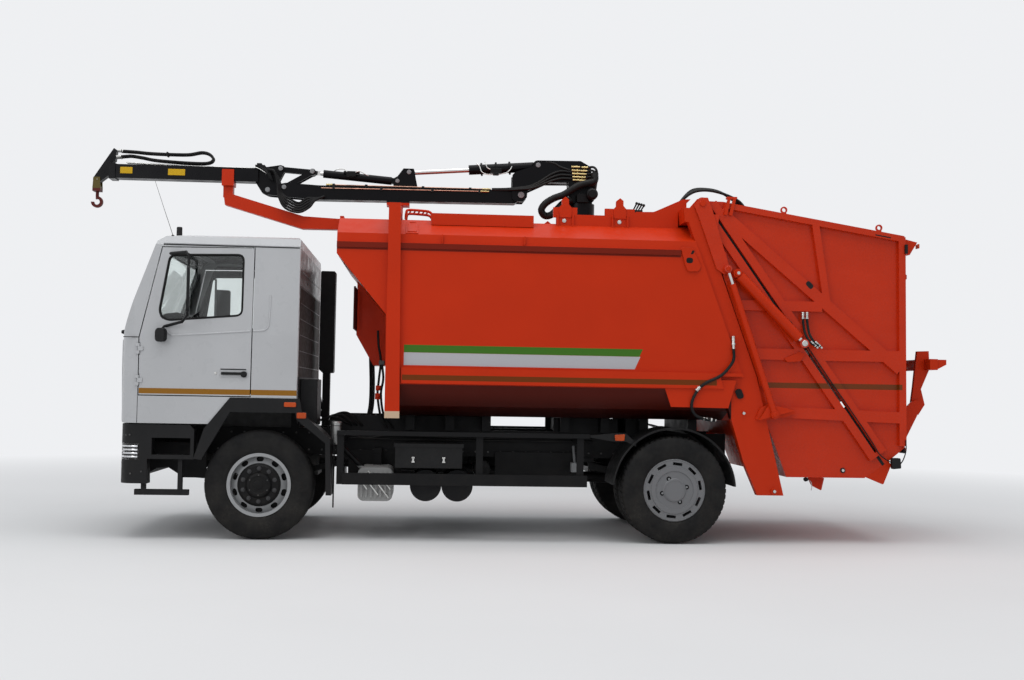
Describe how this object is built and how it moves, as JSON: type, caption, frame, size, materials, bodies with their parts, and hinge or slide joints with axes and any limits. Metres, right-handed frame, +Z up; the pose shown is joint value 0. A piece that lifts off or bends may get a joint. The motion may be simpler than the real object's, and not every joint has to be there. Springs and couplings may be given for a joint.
{
  "type": "garbage truck",
  "caption": "Rear-loading garbage truck with a lifting tailgate, a packer, an ejector plate, a bin lifter and a folding loading crane on the roof.",
  "frame": {"origin": "on the ground at the middle of the overall length and width", "axes": "+X towards the rear, +Y towards the passenger's side, +Z up"},
  "size_m": [8.77, 2.9437, 3.926],
  "materials": {
    "cab_paint": "gloss white paint",
    "body_paint": "gloss orange paint",
    "chassis_paint": "satin black paint",
    "crane_paint": "gloss black paint",
    "wheel_paint": "grey paint",
    "black_plastic": "moulded black plastic",
    "tyre": "worn black rubber",
    "glass": "clear window glass",
    "lamp": "clear lamp lens",
    "red_lamp": "red lamp lens",
    "chrome": "polished piston rod",
    "cast": "bare casting",
    "grey_paint": "grey paint",
    "hook_steel": "olive painted forging",
    "bare_steel": "scraped steel",
    "interior": "dark trim"
  },
  "bodies": {
    "chassis": {"frame": "chassis_paint", "engine": "cast", "front_axle": "cast", "rear_axle": "cast", "air_tanks": "grey_paint", "fuel_tank": "grey_paint", "battery_box": "black_plastic", "exhaust": "bare_steel", "air_intake": "black_plastic", "side_guards": "grey_paint", "mudguards": "black_plastic", "cab_shell": "cab_paint", "windscreen": "glass", "cab_interior": "interior", "bumper": "black_plastic", "lamps": "lamp", "body_shell": "body_paint", "rear_frame": "body_paint", "crane_rests": "body_paint", "crane_base": "body_paint"},
    "tie_rod": {"tie_rod": "cast"},
    "ejector": {"ejector_plate": "body_paint"},
    "tailgate": {"gate_shell": "body_paint", "gate_frame": "body_paint", "lifter_mount": "body_paint", "tail_lamps": "red_lamp"},
    "carriage": {"packer_carriage": "bare_steel"},
    "blade": {"packer_blade": "bare_steel"},
    "packer_tubes": {"packer_barrels": "body_paint"},
    "packer_rods": {"packer_rods": "chrome"},
    "lift_tubes": {"lift_barrels": "body_paint"},
    "lift_rods": {"lift_rods": "chrome"},
    "bin_lifter": {"bin_lifter": "bare_steel"},
    "column": {"crane_column": "crane_paint"},
    "boom": {"crane_boom": "crane_paint"},
    "main_tube": {"main_barrel": "crane_paint"},
    "main_rod": {"main_rod": "chrome"},
    "boom_link": {"boom_link": "crane_paint"},
    "jib_link": {"jib_link": "crane_paint"},
    "jib": {"crane_jib": "crane_paint"},
    "jib_tube": {"jib_barrel": "crane_paint"},
    "jib_rod": {"jib_rod": "chrome"},
    "extension": {"jib_extension": "crane_paint"},
    "hook": {"hook": "hook_steel"},
    "knuckle_left": {"knuckle_left": "cast"},
    "wheel_front_left": {"tyre_front_left": "tyre", "rim_front_left": "wheel_paint"},
    "wheel_rear_left": {"tyres_rear_left": "tyre", "rim_rear_left": "wheel_paint"},
    "door_left": {"door_left": "cab_paint", "door_glass_left": "glass", "mirror_left": "black_plastic"},
    "knuckle_right": {"knuckle_right": "cast"},
    "wheel_front_right": {"tyre_front_right": "tyre", "rim_front_right": "wheel_paint"},
    "wheel_rear_right": {"tyres_rear_right": "tyre", "rim_rear_right": "wheel_paint"},
    "door_right": {"door_right": "cab_paint", "door_glass_right": "glass", "mirror_right": "black_plastic"}
  },
  "joints": [
    {"name": "steer_left", "type": "hinge", "parent": "chassis", "child": "knuckle_left", "pos_m": [-2.44, -0.838, 0.522], "axis": [0, 0, 1], "range_deg": [-35, 35]},
    {"name": "front_wheel_left", "type": "hinge", "parent": "knuckle_left", "child": "wheel_front_left", "pos_m": [-2.44, -1.032, 0.522], "axis": [0, 1, 0], "continuous": true},
    {"name": "rear_wheel_left", "type": "hinge", "parent": "chassis", "child": "wheel_rear_left", "pos_m": [1.56, -0.94, 0.522], "axis": [0, 1, 0], "continuous": true},
    {"name": "door_left", "type": "hinge", "parent": "chassis", "child": "door_left", "pos_m": [-3.583, -1.238, 1.9], "axis": [0, 0, -1], "range_deg": [0, 70]},
    {"name": "steer_right", "type": "hinge", "parent": "chassis", "child": "knuckle_right", "pos_m": [-2.44, 0.838, 0.522], "axis": [0, 0, 1], "range_deg": [-35.01, 35.01]},
    {"name": "front_wheel_right", "type": "hinge", "parent": "knuckle_right", "child": "wheel_front_right", "pos_m": [-2.44, 1.032, 0.522], "axis": [0, 1, 0], "continuous": true},
    {"name": "rear_wheel_right", "type": "hinge", "parent": "chassis", "child": "wheel_rear_right", "pos_m": [1.56, 0.94, 0.522], "axis": [0, 1, 0], "continuous": true},
    {"name": "door_right", "type": "hinge", "parent": "chassis", "child": "door_right", "pos_m": [-3.583, 1.238, 1.9], "axis": [0, 0, 1], "range_deg": [0, 70]},
    {"name": "tie_rod_turn", "type": "hinge", "parent": "knuckle_left", "child": "tie_rod", "pos_m": [-2.28, -0.795, 0.405], "axis": [0, 0, 1], "range_deg": [-35.01, 35.01]},
    {"name": "ejector_slide", "type": "slide", "parent": "chassis", "child": "ejector", "axis": [1, 0, 0], "range_m": [0, 2.85]},
    {"name": "tailgate_lift", "type": "hinge", "parent": "chassis", "child": "tailgate", "pos_m": [1.81, 0, 3.335], "axis": [0, 1, 0], "range_deg": [-90, 0]},
    {"name": "lift_tube_swing", "type": "hinge", "parent": "chassis", "child": "lift_tubes", "pos_m": [2.537, 0, 1.272], "axis": [0, 1, 0], "range_deg": [0, 16.64]},
    {"name": "lift_rod_slide", "type": "slide", "parent": "lift_tubes", "child": "lift_rods", "axis": [-0.32, 0, 0.9474], "range_m": [0, 0.81584]},
    {"name": "packer_slide", "type": "slide", "parent": "tailgate", "child": "carriage", "axis": [0.5793, 0, -0.8151], "range_m": [0, 0.7]},
    {"name": "packer_tube_swing", "type": "hinge", "parent": "tailgate", "child": "packer_tubes", "pos_m": [2.16, 0, 2.65], "axis": [0, 1, 0], "range_deg": [0, 4.04]},
    {"name": "packer_rod_slide", "type": "slide", "parent": "packer_tubes", "child": "packer_rods", "axis": [0.7061, 0, -0.7082], "range_m": [0, 0.69454]},
    {"name": "blade_swing", "type": "hinge", "parent": "carriage", "child": "blade", "pos_m": [2.89672, 0, 1.88534], "axis": [0, 1, 0], "range_deg": [-45, 40]},
    {"name": "bin_lift", "type": "hinge", "parent": "tailgate", "child": "bin_lifter", "pos_m": [4.115, 0, 1.392], "axis": [0, 1, 0], "range_deg": [-60, 75]},
    {"name": "slew", "type": "hinge", "parent": "chassis", "child": "column", "pos_m": [0.75, 0, 3.3], "axis": [0, 0, -1], "range_deg": [0, 200]},
    {"name": "boom_lift", "type": "hinge", "parent": "column", "child": "boom", "pos_m": [0.102, 0, 3.543], "axis": [0, 1, 0], "range_deg": [0, 70]},
    {"name": "main_tube_swing", "type": "hinge", "parent": "column", "child": "main_tube", "pos_m": [0.279, 0, 3.868], "axis": [0, 1, 0], "range_deg": [0, 70.89]},
    {"name": "main_rod_slide", "type": "slide", "parent": "main_tube", "child": "main_rod", "axis": [-0.997, 0, -0.0779], "range_m": [-0.42427, 0]},
    {"name": "jib_fold", "type": "hinge", "parent": "boom", "child": "jib", "pos_m": [-2.567, 0, 3.526], "axis": [0, 1, 0], "range_deg": [-105.01, 0]},
    {"name": "boom_link_swing", "type": "hinge", "parent": "boom", "child": "boom_link", "pos_m": [-2.398, 0, 3.559], "axis": [0, 1, 0], "range_deg": [-94.83, 0]},
    {"name": "jib_link_swing", "type": "hinge", "parent": "jib", "child": "jib_link", "pos_m": [-2.437, 0, 3.754], "axis": [0, 1, 0], "range_deg": [0, 54.14]},
    {"name": "jib_tube_swing", "type": "hinge", "parent": "boom", "child": "jib_tube", "pos_m": [-1.212, 0, 3.663], "axis": [0, 1, 0], "range_deg": [0, 2.7]},
    {"name": "jib_rod_slide", "type": "slide", "parent": "jib_tube", "child": "jib_rod", "axis": [-0.997, 0, 0.077], "range_m": [0, 0.49707]},
    {"name": "jib_extend", "type": "slide", "parent": "jib", "child": "extension", "axis": [-1, 0, 0], "range_m": [0, 1.2]},
    {"name": "hook_swing", "type": "hinge", "parent": "extension", "child": "hook", "pos_m": [-4.335, 0, 3.59], "axis": [0, 1, 0], "range_deg": [-60, 60]}
  ],
  "couplings": [
    {"joint": "steer_right", "follows": "steer_left", "ratio": 1},
    {"joint": "tie_rod_turn", "follows": "steer_left", "ratio": -1},
    {"joint": "lift_tube_swing", "follows": "tailgate_lift", "ratio": -0.18481},
    {"joint": "lift_rod_slide", "follows": "tailgate_lift", "m_per_rad": -0.51931},
    {"joint": "packer_tube_swing", "follows": "packer_slide", "rad_per_m": 0.10041},
    {"joint": "packer_rod_slide", "follows": "packer_slide", "ratio": 0.99205},
    {"joint": "main_tube_swing", "follows": "boom_lift", "ratio": 1.0125},
    {"joint": "main_rod_slide", "follows": "boom_lift", "m_per_rad": -0.34719},
    {"joint": "jib_fold", "follows": "boom_lift", "ratio": -1.5},
    {"joint": "boom_link_swing", "follows": "boom_lift", "ratio": -1.3546},
    {"joint": "jib_link_swing", "follows": "boom_lift", "ratio": 0.7733},
    {"joint": "jib_tube_swing", "follows": "boom_lift", "ratio": 0.038486},
    {"joint": "jib_rod_slide", "follows": "boom_lift", "m_per_rad": 0.40677}
  ]
}
